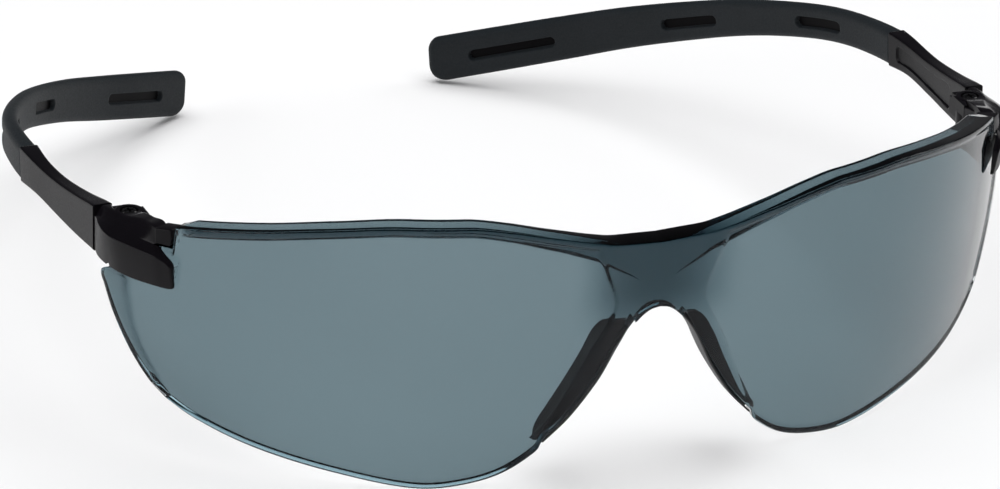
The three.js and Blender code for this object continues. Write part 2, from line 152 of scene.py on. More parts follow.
def make_pair(name, points, faces, materials, bodies, face_slots=None):
    """The left piece and its mirror image, riding on their bodies in place of the CAD nodes."""
    made = []
    for side in SIDES:
        placed = points if side == "left" else points * (-1, 1, 1)
        piece = make_object(f"{name}_{side}_fine", placed, faces, materials, face_slots)
        finish_piece(piece, bodies[side], f"{name}_{side}")
        made.append(piece)
    return made


def finish_piece(piece, body, node):
    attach(piece, body)
    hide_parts(node)


def finish_pair(left, name, bodies):
    """Adds the mirror image of a finished left piece, and puts both on their bodies."""
    right = mirrored_copy(left, f"{name}_right_fine")
    for piece, side in zip((left, right), SIDES):
        finish_piece(piece, bodies[side], f"{name}_{side}")


FRONT = {side: "front" for side in SIDES}
TEMPLE = {side: f"temple_{side}" for side in SIDES}


# ---- Materials ----
def new_material(name):
    material = bpy.data.materials.new(name)
    material.use_nodes = True
    nodes = material.node_tree.nodes
    return material, nodes, material.node_tree.links, nodes["Principled BSDF"]


def noise(nodes, links, scale, detail=2.0, roughness=0.5, stretch=None):
    """3-D noise over the object's own coordinates. Scale counts features per metre."""
    where = nodes.new("ShaderNodeTexCoord").outputs["Object"]
    if stretch:
        mapping = nodes.new("ShaderNodeMapping")
        mapping.inputs["Scale"].default_value = stretch
        links.new(where, mapping.inputs["Vector"])
        where = mapping.outputs["Vector"]
    texture = nodes.new("ShaderNodeTexNoise")
    texture.inputs["Scale"].default_value = scale
    texture.inputs["Detail"].default_value = detail
    texture.inputs["Roughness"].default_value = roughness
    links.new(where, texture.inputs["Vector"])
    return texture.outputs["Fac"]


def mapped(nodes, links, value, low, high, from_low=0.3, from_high=0.7):
    """A value carried from one range to another."""
    node = nodes.new("ShaderNodeMapRange")
    for key, number in (("From Min", from_low), ("From Max", from_high), ("To Min", low),
                        ("To Max", high)):
        node.inputs[key].default_value = number
    links.new(value, node.inputs["Value"])
    return node.outputs["Result"]


def blended(nodes, links, factor, first, second):
    """A colour between two, each a tuple or a socket."""
    node = nodes.new("ShaderNodeMix")
    node.data_type = "RGBA"
    links.new(factor, node.inputs["Factor"])
    for key, color in (("A", first), ("B", second)):
        socket = [s for s in node.inputs if s.name == key and s.type == "RGBA"][0]
        if isinstance(color, tuple):
            socket.default_value = (*color, 1)
        else:
            links.new(color, socket)
    return [s for s in node.outputs if s.type == "RGBA"][0]


def bump(nodes, links, shader, height, strength, distance):
    node = nodes.new("ShaderNodeBump")
    node.inputs["Strength"].default_value = strength
    node.inputs["Distance"].default_value = distance
    links.new(height, node.inputs["Height"])
    links.new(node.outputs["Normal"], shader.inputs["Normal"])


def facing_up(nodes, links, low, high):
    """0 on upright faces and 1 on faces that look up, told from the surface itself."""
    normal = nodes.new("ShaderNodeNewGeometry").outputs["Normal"]
    split = nodes.new("ShaderNodeSeparateXYZ")
    links.new(normal, split.inputs["Vector"])
    return mapped(nodes, links, split.outputs["Z"], 0, 1, low, high)


def smoke_lens():
    """Hard-coated polycarbonate: clear surfaces over a neutral grey-green absorbing body."""
    material, nodes, links, shader = new_material("smoke_lens")
    shader.inputs["Base Color"].default_value = (1, 1, 1, 1)
    shader.inputs["Transmission Weight"].default_value = 1
    shader.inputs["IOR"].default_value = 1.58
    shader.inputs["Specular Tint"].default_value = (0.3, 0.3, 0.32, 1)
    haze = noise(nodes, links, 90, 3)
    links.new(mapped(nodes, links, haze, 0.0, 0.03), shader.inputs["Roughness"])
    absorb = nodes.new("ShaderNodeVolumeAbsorption")
    absorb.inputs["Color"].default_value = (0.26, 0.40, 0.445, 1)
    absorb.inputs["Density"].default_value = 1260
    links.new(absorb.outputs["Volume"], nodes["Material Output"].inputs["Volume"])
    return material


def hard_plastic(name="hard_plastic", shade=0.8, reflection=0.12):
    """Black nylon: satin with a fine spark-eroded grain on side faces, gloss on top faces."""
    material, nodes, links, shader = new_material(name)
    cloud = noise(nodes, links, 160, 3)
    color = blended(nodes, links, cloud, (0.004 * shade, 0.0035 * shade, 0.0045 * shade),
                    (0.007 * shade, 0.006 * shade, 0.008 * shade))
    links.new(color, shader.inputs["Base Color"])
    up = facing_up(nodes, links, 0.25, 0.6)
    grain = noise(nodes, links, 5200, 2)
    satin = mapped(nodes, links, grain, 0.34, 0.46)
    level = nodes.new("ShaderNodeMix")
    links.new(up, level.inputs["Factor"])
    links.new(satin, level.inputs["A"])
    level.inputs["B"].default_value = 0.13
    links.new(level.outputs["Result"], shader.inputs["Roughness"])
    shader.inputs["IOR"].default_value = 1.5
    shader.inputs["Specular IOR Level"].default_value = reflection
    rough_only = nodes.new("ShaderNodeMath")
    rough_only.operation = "MULTIPLY"
    less_up = mapped(nodes, links, up, 1, 0.1, 0, 1)
    links.new(grain, rough_only.inputs[0])
    links.new(less_up, rough_only.inputs[1])
    bump(nodes, links, shader, rough_only.outputs["Value"], 0.25, 0.00003)
    return material


def sleeve_rubber():
    """Matte charcoal overmoulded rubber with a fine stipple."""
    material, nodes, links, shader = new_material("sleeve_rubber")
    cloud = noise(nodes, links, 110, 4)
    color = blended(nodes, links, cloud, (0.0065, 0.009, 0.011), (0.0098, 0.013, 0.0158))
    links.new(color, shader.inputs["Base Color"])
    grain = noise(nodes, links, 3600, 3, 0.65)
    links.new(mapped(nodes, links, grain, 0.58, 0.78), shader.inputs["Roughness"])
    shader.inputs["IOR"].default_value = 1.5
    shader.inputs["Specular IOR Level"].default_value = 0.25
    shader.inputs["Sheen Weight"].default_value = 0.03
    bump(nodes, links, shader, grain, 0.35, 0.00005)
    return material


def pad_rubber():
    """Soft black rubber, smoother than the sleeves."""
    material, nodes, links, shader = new_material("pad_rubber")
    cloud = noise(nodes, links, 200, 3)
    color = blended(nodes, links, cloud, (0.004, 0.004, 0.005), (0.008, 0.007, 0.008))
    links.new(color, shader.inputs["Base Color"])
    grain = noise(nodes, links, 4500, 2)
    links.new(mapped(nodes, links, grain, 0.42, 0.58), shader.inputs["Roughness"])
    bump(nodes, links, shader, grain, 0.2, 0.00003)
    return material


def screw_metal():
    """Dark plated steel with turning marks."""
    material, nodes, links, shader = new_material("screw_metal")
    cloud = noise(nodes, links, 900, 3)
    color = blended(nodes, links, cloud, (0.10, 0.10, 0.105), (0.17, 0.165, 0.16))
    links.new(color, shader.inputs["Base Color"])
    shader.inputs["Metallic"].default_value = 1
    marks = noise(nodes, links, 2500, 2, stretch=(1, 1, 6))
    links.new(mapped(nodes, links, marks, 0.16, 0.32), shader.inputs["Roughness"])
    bump(nodes, links, shader, marks, 0.15, 0.00002)
    return material


LENS_MATERIAL = smoke_lens()
PLASTIC = hard_plastic()
# The core plastic on the slot floors, painted darker and duller than the arm's: painted shade in
# the slots.
SLOT_SHADED_PLASTIC = hard_plastic("slot_plastic_painted_shade", 0.4, 0.05)
RUBBER = sleeve_rubber()
PAD_RUBBER = pad_rubber()
METAL = screw_metal()


# ---- Lens ----
LENS_THICKNESS = 2.2
LENS_FRONT_Y = -40.6
LENS_WRAP = 38.0
LENS_HALF = 71.4
LENS_WRAP_POWER = 3.15
LENS_TILT = 0.14
LENS_MID_Z = 22
LENS_UPRIGHT_RADIUS = 160
LENS_SWEEP = 1.2                  # how much further back the upper ends reach
BRIDGE_SETBACK = 0.3
BRIDGE_EXTRA = 1.7                # extra thickness behind the bridge
BROW_LEDGE_DEPTH = 3.9
RIM_ROUND = 0.3
LEDGE_ROUND = 0.22
ZONE_STEP = 0.28                  # the optical zone lies this much below the rim strips
ZONE_STEP_WIDTH = 0.6
CORNER_START, CORNER_END = 65.0, 65.3
FOOT_RECESS = {"x_low": 65.5, "x_high": 66.4, "bottom": 27.8, "round": 1.0, "depth": 0.22}

PAD_NOTCH = {"rise": 1.3, "top": (3.6, 4.1), "bottom": (16.6, 17.1)}     # ends along x

lens_outline = graph([[0, 28.2], [1.6, 27.8], [3.2, 26.5], [4.8, 24.3], [8.6, 17.1], [12.7, 10.7],
                      [17, 5.9], [22, 2.2], [28, 0.4], [34, 0], [44, 1.9], [55.5, 4.6], [62, 7.2],
                      [65.2, 9.4]])
brow_top = graph([[0, 39], [7.4, 39.5], [16.9, 41.7], [24, 43.4], [30, 44.2], [38, 44.2],
                  [48.2, 42.9], [57, 40.7], [65.2, 38.3]])
notch_top = graph([[66.6, 34.9], [67.8, 33.4]])
ledge_height = graph([[3, 7], [5, 5.6], [6.6, 4.6], [8, 3.9], [12, 3], [16, 2.5], [25, 1.9],
                      [39, 1.7]])
lens_half_width = graph([[0, 65.2], [0.1, 67.2], [0.28, 69.4], [0.5, 71.2], [0.66, 72],
                         [0.75, 72.2], [0.81, 71.1], [1, 71]])
zone_nose_edge = graph([[8, 16.5], [14.2, 13.5], [21.8, 10.2], [26.6, 7.7], [29.8, 6.7],
                        [34.6, 8.2], [38, 9.6]])
zone_outer_edge = graph([[5, 61.8], [9.4, 64.4], [11.5, 65.5], [18, 68.2], [24.2, 69.4],
                         [30, 69.8]])


def lens_low(x):
    notch = smooth(*PAD_NOTCH["top"], x) * (1 - smooth(*PAD_NOTCH["bottom"], x))
    return lens_outline(x) + PAD_NOTCH["rise"] * notch


def lens_top(x):
    return mix(brow_top(x), notch_top(x), smooth(CORNER_START, CORNER_END, x))


def lens_face_y(x, z):
    side = np.abs(x)
    wrap = LENS_WRAP * (side / LENS_HALF) ** LENS_WRAP_POWER
    rise = z - LENS_MID_Z
    bridge = BRIDGE_SETBACK * (1 - smooth(4, 9, side)) * smooth(12, 22, z)
    swept = LENS_SWEEP * smooth(70.2, 72.2, side) * smooth(22, 28, z)
    return (LENS_FRONT_Y + wrap + swept + bridge - rise * LENS_TILT
            + rise ** 2 / (2 * LENS_UPRIGHT_RADIUS))


def lens_points(x, z, depth):
    """Points set back from the lens face by depth, square to the face."""
    small = 0.05
    slope_x = (lens_face_y(x + small, z) - lens_face_y(x - small, z)) / (2 * small)
    slope_z = (lens_face_y(x, z + small) - lens_face_y(x, z - small)) / (2 * small)
    back = np.stack([-slope_x, np.ones_like(slope_x), -slope_z], -1)
    back /= np.linalg.norm(back, axis=-1, keepdims=True)
    return np.stack([x, lens_face_y(x, z), z], -1) + back * depth[..., None]


def lens_thickness(x, z):
    at_bridge = smooth(22, 31, z) * (1 - smooth(1, 14, np.abs(x)))
    return LENS_THICKNESS + BRIDGE_EXTRA * at_bridge


def lens_section():
    """The lens's closed section as weights: height from low, top, the ledge height and an
    offset, and depth from the thickness, the ledge depth and an offset."""
    r, s = RIM_ROUND, LEDGE_ROUND
    rows = []

    def add(low_share, offset, ledge=0.0, thickness=0.0, ledge_depth=0.0, depth=0.0):
        rows.append((low_share, 1 - low_share, ledge, offset, thickness, ledge_depth, depth))

    heights = np.linspace(0, 1, 112)
    guard = 0.25
    for a in arc(0):
        add(1, r - r * math.cos(a), depth=r - r * math.sin(a))
    for v in heights:
        add(1 - v, mix(r + guard, -r - guard, v))
    for a in arc(0):
        add(0, -r + r * math.sin(a), depth=r - r * math.cos(a))
    for a in arc(0):
        add(0, -r + r * math.cos(a), ledge_depth=1, depth=-r + r * math.sin(a))
    for a in arc(0, 4):
        add(0, s - s * math.sin(a), ledge=1, ledge_depth=1, depth=-s + s * math.cos(a))
    for a in arc(0, 4):
        add(0, -s + s * math.cos(a), ledge=1, thickness=1, depth=s - s * math.sin(a))
    for v in heights[::-1]:
        add(1 - v, mix(r + guard, -s - guard, v), ledge=v, thickness=1)
    for a in arc(0):
        add(1, r - r * math.sin(a), thickness=1, depth=-r + r * math.cos(a))
    return np.array(rows)


def edge_distance(outline, x, z):
    """About how far x lies past an upright outline, square to it."""
    slope = (outline(z + 0.2) - outline(z - 0.2)) / 0.4
    return (x - outline(z)) / np.sqrt(1 + slope ** 2)


def foot_recess(side, z):
    """How far the recess for the end piece's foot is sunk at a place on the lens face."""
    spec = FOOT_RECESS
    edge = mix(spec["x_low"], spec["x_high"], np.clip((z - spec["bottom"]) / 9.4, 0, 1))
    across = edge - side + spec["round"]
    below = spec["bottom"] - z + spec["round"]
    outside = np.hypot(np.maximum(across, 0), np.maximum(below, 0))
    distance = outside + np.minimum(np.maximum(across, below), 0) - spec["round"]
    return spec["depth"] * (1 - smooth(-0.12, 0.12, distance))


def build_lens():
    section = lens_section()
    low_share, top_share, drop_share, offset, thick_share, ledge_share, extra = section.T
    end_insets = RIM_ROUND * (1 - np.sin(arc(0)))          # from the end of the lens inward
    full = lens_half_width(1)
    half = joined(steps(0, 12, 0.25), steps(12, 58, 0.5), steps(58, CORNER_START, 0.25),
                  steps(CORNER_START, CORNER_END, 0.03), steps(CORNER_END, full - 0.5, 0.25),
                  full - end_insets)
    columns = np.concatenate([-half[:0:-1], half]) / full
    count, size = len(columns), len(section)
    share = np.abs(columns)[:, None]
    toward_end = full - np.abs(columns) * full
    cut = np.where(toward_end < RIM_ROUND, RIM_ROUND - toward_end, 0)[:, None]
    pinch = RIM_ROUND - np.sqrt(RIM_ROUND ** 2 - np.minimum(cut, RIM_ROUND) ** 2)
    low = lens_low(share * lens_half_width(0)) + pinch
    top = lens_top(share * full) - pinch
    z = low * low_share + top * top_share - ledge_height(share * full) * drop_share + offset
    relative = np.clip((z - low) / (top - low), 0, 1)
    x = columns[:, None] * lens_half_width(relative)
    side = np.abs(x)
    thickness = lens_thickness(x, z)
    ledge_fade = 1 - smooth(64, CORNER_START, share * full)
    ledge = np.maximum(BROW_LEDGE_DEPTH, thickness)
    step = np.clip((ledge - thickness) / (2 * LEDGE_ROUND), 0, 1)
    extra = np.where(drop_share == 1, extra * step, extra)
    depth = thickness * thick_share + ledge * ledge_share + extra
    over = depth > thickness
    depth = np.where(over, thickness + (depth - thickness) * ledge_fade, depth)
    is_front = (thick_share == 0) & (ledge_share == 0) & (extra == 0)
    zone = smooth(0, ZONE_STEP_WIDTH, edge_distance(zone_nose_edge, side, z))
    zone = zone * (1 - smooth(0, ZONE_STEP_WIDTH, edge_distance(zone_outer_edge, side, z)))
    zone = zone * smooth(0.6, 1.4, z - low) * smooth(0.6, 1.4, top - z)
    sunk = np.maximum(ZONE_STEP * zone, foot_recess(side, z))
    depth = depth + np.where(is_front, sunk, 0)
    middle = thickness / 2
    depth = middle + (depth - middle) * (1 - pinch / middle)
    points = lens_points(x, z, depth).reshape(-1, 3)
    piece = make_object("lens_fine", points, ring_faces(count, size), [LENS_MATERIAL])
    smooth_by_angle(piece, 40)
    finish_piece(piece, "front", "lens")
    piece.visible_shadow = False
    return piece


# ---- Nose pads ----
PAD = {"top": 25.8, "bottom": 6.6, "base": 3.5, "plate": 0.9, "depth": 5.6, "flare": 1.0,
       "skin": 0.36, "wrap": 2.3}
nose_edge = graph([[5, 17.9], [7, 16], [10.7, 12.7], [17.1, 8.6], [24.3, 4.8], [27, 2.6]])


def rounded_outline(corners, radii, per_corner=5):
    """A closed outline through corners with each corner rounded, as an array of points."""
    corners = np.array(corners, float)
    radii = np.broadcast_to(radii, len(corners))
    outline = []
    for i, here in enumerate(corners):
        before, after = corners[i - 1], corners[(i + 1) % len(corners)]
        back, ahead = before - here, after - here
        reach = min(radii[i], np.linalg.norm(back) * 0.45, np.linalg.norm(ahead) * 0.45)
        start = here + back / np.linalg.norm(back) * reach
        end = here + ahead / np.linalg.norm(ahead) * reach
        for t in np.linspace(0, 1, per_corner):
            outline.append((1 - t) ** 2 * start + 2 * t * (1 - t) * here + t * t * end)
    return np.array(outline)


def build_pads():
    stations = 72
    rings = []
    for i in range(stations + 1):
        t = i / stations
        z = mix(PAD["top"], PAD["bottom"], t)
        fullness = math.sqrt(max(1 - (2 * t - 1) ** 6, 0.05))
        depth = PAD["depth"] * fullness * mix(1, 0.62, t * t)
        base = PAD["base"] * mix(0.7, 1, fullness) * mix(1, 0.4, t * t)
        flare = PAD["flare"] * depth / PAD["depth"]
        plate = PAD["plate"]
        skin, wrap = PAD["skin"], PAD["wrap"]
        corners = [[0, -wrap - 0.05], [skin, -wrap - 0.05], [skin, 0], [base, 0], [base, 0.75],
                   [plate + 0.5, 1.0],
                   [flare * 0.55 + plate, depth * 0.55], [flare + plate * 0.8, depth],
                   [flare - 0.1, depth * 0.97], [flare * 0.3, depth * 0.5], [0, 0.9]]
        outline = rounded_outline(corners, 0.5, 6)
        side = float(nose_edge(z)) + outline[:, 0]
        heights = np.full(len(outline), z)
        ring = lens_points(side, heights, lens_thickness(side, heights) + GAP)
        ring[:, 1] += outline[:, 1]
        rings.append(ring)
    size, count = len(rings[0]), len(rings)
    faces = ring_faces(count, size)[:(count - 1) * size]
    faces += [tuple(range(size))[::-1], tuple((count - 1) * size + i for i in range(size))]
    return make_pair("nose_pad", np.concatenate(rings), faces, [PAD_RUBBER], FRONT)


# ---- Temples ----
SPLIT_Y = 4.3
SLEEVE_START = 31.0
TIP_STRAIGHT = 12
TIP_RAKE = 0.22
SLOT_HEIGHT = 1.7
SLOT_DEPTH = 0.75
SLOTS = [[46.5, 57.5], [75, 86], [106, 121]]
LINE_POINTS = [
    [70.2, 4.6, 31.6], [70.7, 12, 30.6], [71.2, 21, 29.8], [71.5, 32, 29.3], [70.7, 43, 28.0],
    [68.8, 53, 26.3], [65.6, 62, 24.1], [60.6, 72.2, 21.0], [54.8, 81.6, 17.4],
    [47.8, 89.8, 13.9], [40.2, 96.8, 10.4], [31.0, 103.3, 7.0]]
arm_height = graph([[0, 7.3], [8, 6.4], [17, 5.4], [24, 5.1], [31, 5.6]])
arm_thickness = graph([[0, 3.0], [8, 2.5], [17, 2.2], [24, 2.3], [31, 2.9]])
temple_height = graph([[31, 5.6], [60, 5.7], [90, 6.7], [110, 7.4], [140, 7.6]])
temple_thickness = graph([[31, 2.9], [45, 2.5], [70, 2.4], [140, 2.4]])


def centripetal_curve(points, per_span=80):
    """Dense points on the centripetal Catmull-Rom curve through the given points."""
    points = np.array(points, float)
    points = np.vstack([2 * points[0] - points[1], points, 2 * points[-1] - points[-2]])
    dense = []
    for i in range(1, len(points) - 2):
        p0, p1, p2, p3 = points[i - 1:i + 3]
        d0, d1, d2 = (math.sqrt(np.linalg.norm(b - a)) for a, b in ((p0, p1), (p1, p2), (p2, p3)))
        bend1 = ((p1 - p0) / d0 - (p2 - p0) / (d0 + d1) + (p2 - p1) / d1) * d1
        bend2 = ((p2 - p1) / d1 - (p3 - p1) / (d1 + d2) + (p3 - p2) / d2) * d1
        for t in np.linspace(0, 1, per_span, endpoint=False):
            dense.append(p1 + bend1 * t + (-3 * p1 + 3 * p2 - 2 * bend1 - bend2) * t ** 2
                         + (2 * p1 - 2 * p2 + bend1 + bend2) * t ** 3)
    dense.append(points[-2])
    return np.array(dense)


LINE = centripetal_curve(LINE_POINTS)
LINE_ALONG = np.concatenate([[0], np.cumsum(np.linalg.norm(np.diff(LINE, axis=0), axis=1))])
LINE_AHEAD = np.gradient(LINE, LINE_ALONG, axis=0)
LINE_LENGTH = LINE_ALONG[-1]
TEMPLE_LENGTH = LINE_LENGTH + TIP_STRAIGHT


def temple_frame(along):
    """Centre, direction, outward and up vectors at distances along the temple."""
    inside = np.clip(along, 0, LINE_LENGTH)
    centre = np.stack([np.interp(inside, LINE_ALONG, LINE[:, k]) for k in range(3)], -1)
    ahead = np.stack([np.interp(inside, LINE_ALONG, LINE_AHEAD[:, k]) for k in range(3)], -1)
    ahead /= np.linalg.norm(ahead, axis=-1, keepdims=True)
    centre = centre + ahead * (along - inside)[:, None]
    outward = np.cross(ahead, [0, 0, 1])
    outward /= np.linalg.norm(outward, axis=-1, keepdims=True)
    return centre, ahead, outward, np.cross(outward, ahead)


def section_loop(face_rows, cap_rows, corner_rows=5):
    """One temple section's loop: for each point the side it is on, its share of the flat
    from bottom to top or inside to outside, and its corner angle."""
    loop = []
    for share in face_rows:
        loop.append(("flat", 1, 2 * share - 1, 0.0))
    corners = [(1, 1, 0), (-1, 1, 90), (-1, -1, 180), (1, -1, 270)]
    caps = np.linspace(1, -1, cap_rows + 2)[1:-1]
    for number, (out, up, start) in enumerate(corners):
        for a in np.radians(np.linspace(start, start + 90, corner_rows)):
            loop.append(("corner", out, up, a))
        if number in (0, 2):
            loop += [("cap", up, c * out, 0.0) for c in caps]
        if number == 1:
            loop += [("flat", -1, 1 - 2 * share, 0.0) for share in face_rows]
    return loop


def temple_rings(along, thickness, top, bottom, corner, loop):
    """Points of every ring, with each point's across and up places in its section."""
    half = thickness / 2
    round_ = np.minimum(np.minimum(corner, half * 0.98), (top - bottom) / 2.05)
    across = np.zeros((len(along), len(loop)))
    height = np.zeros_like(across)
    for i, (kind, a, b, angle) in enumerate(loop):
        if kind == "flat":
            middle, reach = (top + bottom) / 2, (top - bottom) / 2 - round_
            across[:, i] = a * half
            height[:, i] = middle + b * reach
        elif kind == "cap":
            across[:, i] = b * (half - round_)
            height[:, i] = top if a > 0 else bottom
        else:
            across[:, i] = a * (half - round_) + round_ * math.cos(angle)
            edge = top - round_ if b > 0 else bottom + round_
            height[:, i] = edge + round_ * math.sin(angle)
    return across, height


def place_rings(along, across, height):
    centre, ahead, outward, up = temple_frame(along)
    rake = TIP_RAKE * smooth(TEMPLE_LENGTH - 14, TEMPLE_LENGTH, along)
    return (centre[:, None] + outward[:, None] * across[..., None] + up[:, None] * height[..., None]
            - ahead[:, None] * (rake[:, None] * height)[..., None])


def corner_drop(to_end, radius):
    """Height lost at a rounded end of some radius, a distance short of the end."""
    near = np.clip(radius - to_end, 0, radius)
    return radius - np.sqrt(radius ** 2 - near ** 2)


def slot_distance(along, height, start, end):
    """Signed distance to a slot with round ends, negative inside."""
    radius = SLOT_HEIGHT / 2
    spare = np.maximum(np.maximum(start + radius - along, along - end + radius), 0)
    return np.hypot(spare, height) - radius


def symmetric_rows(half_fine, fine, rest):
    """Shares from 0 to 1, close together within half_fine of the middle."""
    inner = steps(0.5, 0.5 + half_fine, fine)
    outer = np.linspace(0.5 + half_fine, 1, rest + 2)[1:-1]
    upper = np.concatenate([inner, outer])
    return np.concatenate([1 - upper[:0:-1], upper])


def build_sleeves():
    fine = [steps(start - 0.4, end + 0.4, 0.16) for start, end in SLOTS]
    end = TEMPLE_LENGTH
    tip = end - 3.4 * (1 - np.sin(arc(0, 18)))
    along = joined(SLEEVE_START + GAP / 2 + steps(0, 0.3, 0.1),
                   steps(SLEEVE_START + 0.6, end - 3.6, 0.9), *fine, tip)
    half = temple_height(along) / 2
    to_end = end - along
    mouth = corner_drop(along - along[0], 0.25)
    top = half - corner_drop(to_end, 1.7) - mouth
    bottom = -half + corner_drop(to_end, 3.2) + mouth
    thickness = temple_thickness(along) - 2 * corner_drop(to_end, 0.9) - 2 * mouth
    loop = section_loop(symmetric_rows(0.24, 0.022, 5), 3, 6)
    across, height = temple_rings(along, thickness, top, bottom, 1.05, loop)
    pocket = np.zeros_like(across)
    for start, stop in SLOTS:
        distance = slot_distance(along[:, None], height, start, stop)
        pocket = np.maximum(pocket, 1 - smooth(-0.1, 0.1, distance))
    flat = np.array([kind == "flat" for kind, *_ in loop])
    pocket = np.where(flat, pocket, 0)
    sunk = across - np.sign(across) * SLOT_DEPTH * pocket
    points = place_rings(along, sunk, height).reshape(-1, 3)
    faces = ring_faces(len(along), len(loop))
    # Faces on the slot floors take the darker copy of the plastic, which paints shade into the
    # slots.
    deep = (pocket > 0.9).reshape(-1)
    face_slots = [1 if all(deep[v] for v in face) else 0 for face in faces]
    return make_pair("temple_sleeve", points, faces, [RUBBER, SLOT_SHADED_PLASTIC], TEMPLE,
                     face_slots)


ARM_CORNER = 0.38
PANEL = {"start": 6.5, "end": SLEEVE_START - 2.5, "margin": 1.35, "depth": 0.3, "round": 1.0}


def panel_depth(along, height, half_height):
    """How far the blank panel is sunk at a place on the inner face."""
    reach = half_height - PANEL["margin"] - PANEL["round"]
    middle = (PANEL["start"] + PANEL["end"]) / 2
    length = (PANEL["end"] - PANEL["start"]) / 2 - PANEL["round"]
    over_along = np.abs(along - middle) - length
    over_up = np.abs(height) - reach
    outside = np.hypot(np.maximum(over_along, 0), np.maximum(over_up, 0))
    distance = outside + np.minimum(np.maximum(over_along, over_up), 0) - PANEL["round"]
    return PANEL["depth"] * (1 - smooth(-0.1, 0.1, distance))


def build_arms():
    along = joined([0], steps(1.2, 5.5, 0.5), steps(5.5, 8.5, 0.15),
                   steps(8.5, PANEL["end"] - 1.5, 0.4),
                   steps(PANEL["end"] - 1.5, SLEEVE_START, 0.15), [SLEEVE_START + 0.8])
    half = arm_height(along) / 2
    tenon = np.where(along > SLEEVE_START + 0.1, 0.5, 0)
    loop = section_loop(np.linspace(0, 1, 36), 5, 5)
    across, height = temple_rings(along, arm_thickness(along) - 2 * tenon, half - tenon,
                                  tenon - half, ARM_CORNER, loop)
    inner = np.array([kind == "flat" and side < 0 for kind, side, *_ in loop])
    sunk = panel_depth(along[:, None], height, half[:, None])
    across = across + np.where(inner, sunk, 0)
    points = place_rings(along, across, height)
    ahead = temple_frame(along[:1])[1][0]
    points[0] += ahead * ((SPLIT_Y - points[0][:, 1:2]) / ahead[1])      # an upright butt face
    return points.reshape(-1, 3), ring_faces(len(along), len(loop))


# ---- Hinges ----
HINGE_X = HINGE.x
KNUCKLE_RADIUS = 2.0
EAR_RADIUS = 2.2
SCREW_RADIUS = 0.6
SCREW_HEAD_RADIUS = 1.2
LEVELS = {"lower_ear": 28.8, "knuckle": 30.8, "upper_ear": 33.8, "head_seat": 34.9,
          "ear_top": 35.8}


def turned(profile, sides=56):
    """A body turned about the left hinge axis from a profile of radius and height."""
    points, faces = [], []
    for k in range(sides):
        turn = 2 * math.pi * k / sides
        points += [(HINGE_X + r * math.cos(turn), r * math.sin(turn), z) for r, z in profile]
    size = len(profile)
    for k in range(sides):
        a, b = k * size, (k + 1) % sides * size
        faces += [(a + i, b + i, b + i + 1, a + i + 1) for i in range(size - 1)]
    for end, order in ((0, -1), (size - 1, 1)):
        faces.append(tuple(k * size + end for k in range(sides))[::order])
    return np.array(points), faces


def rounded_drum(radius, bottom, top, round_=0.2):
    foot = [(radius - round_ + round_ * math.sin(a), bottom + round_ - round_ * math.cos(a))
            for a in arc(0)]
    head = [(radius - round_ + round_ * math.cos(a), top - round_ + round_ * math.sin(a))
            for a in arc(0)]
    return turned(foot + head)


def box_shape(low, high):
    points = np.array([(x, y, z) for x in (low[0], high[0]) for y in (low[1], high[1])
                       for z in (low[2], high[2])], float)
    faces = [(0, 1, 3, 2), (4, 6, 7, 5), (0, 4, 5, 1), (2, 3, 7, 6), (0, 2, 6, 4), (1, 5, 7, 3)]
    return points, faces


def combine(base, shape, operation):
    """Joins a shape to a mesh object or cuts it out, then drops the shape."""
    other = make_object("cutter", *shape, [PLASTIC])
    modifier = base.modifiers.new("combine", "BOOLEAN")
    modifier.operation = operation
    modifier.solver = "MANIFOLD"
    modifier.object = other
    apply_modifiers(base)
    bpy.data.objects.remove(other)


def apply_modifiers(piece):
    """Replaces a piece's mesh with what its modifiers make of it."""
    bpy.context.view_layer.update()
    graph_now = bpy.context.evaluated_depsgraph_get()
    made = bpy.data.meshes.new_from_object(piece.evaluated_get(graph_now))
    piece.modifiers.clear()
    piece.data = made


def smooth_by_angle(piece, degrees):
    piece.data.polygons.foreach_set("use_smooth", [True] * len(piece.data.polygons))
    piece.data.set_sharp_from_angle(angle=math.radians(degrees))


def mirrored_copy(piece, name):
    """The same piece on the other side of the mirror plane."""
    mesh = piece.data.copy()
    mesh.transform(Matrix.Scale(-1, 4, (1, 0, 0)))
    mesh.flip_normals()
    made = bpy.data.objects.new(name, mesh)
    bpy.context.scene.collection.objects.link(made)
    return made


def finish_arms():
    knuckle, upper_ear = LEVELS["knuckle"], LEVELS["upper_ear"]
    left = make_object("temple_arm_left_fine", *build_arms(), [PLASTIC])
    neck = box_shape((HINGE_X - 0.6, 0.8, knuckle), (HINGE_X + 2.7, SPLIT_Y + 1.6, upper_ear - GAP))
    combine(left, neck, "UNION")
    combine(left, rounded_drum(KNUCKLE_RADIUS, knuckle, upper_ear - GAP), "UNION")
    combine(left, rounded_drum(SCREW_RADIUS + GAP, 29, 36, 0.05), "DIFFERENCE")
    smooth_by_angle(left, 40)
    finish_pair(left, "temple_arm", TEMPLE)


# ---- End pieces ----
# Stations from the joint line round the lens corner to the toe of the foot. Each has the
# outer face in plan (x, y), the way inward (x, y), the low edge, the crease, the lip and the
# ridge as depth and height, and the reach.
END_STATIONS = [
    (71.5, 4, -1, 0, 28.3, 33.7, 0.5, 34.3, 1.1, 35.3, 2.5),
    (72.1, 0.8, -1, 0.05, 28.4, 34, 1, 34.7, 2.2, 35.7, 3),
    (72.3, -2.2, -1, 0.15, 28.4, 34, 1.3, 34.9, 3.3, 35.9, 6.3),
    (71.7, -5.1, -0.93, 0.37, 28.4, 33.9, 1.3, 34.8, 3.8, 36.3, 6.3),
    (70.2, -8.2, -0.86, 0.51, 28.3, 33.8, 1.3, 34.8, 3.4, 36.8, 5.4),
    (68.1, -11.7, -0.82, 0.57, 28.4, 33.5, 1.2, 34.9, 1.6, 37.2, 3.8),
    (66.8, -13.3, -0.8, 0.6, 28.4, 33, 0.7, 33.6, 0.7, 33.6, 1.2),
    (66, -14.2, -0.8, 0.6, 28.6, 32.2, 0.5, 32.6, 0.5, 32.6, 1.2),
]
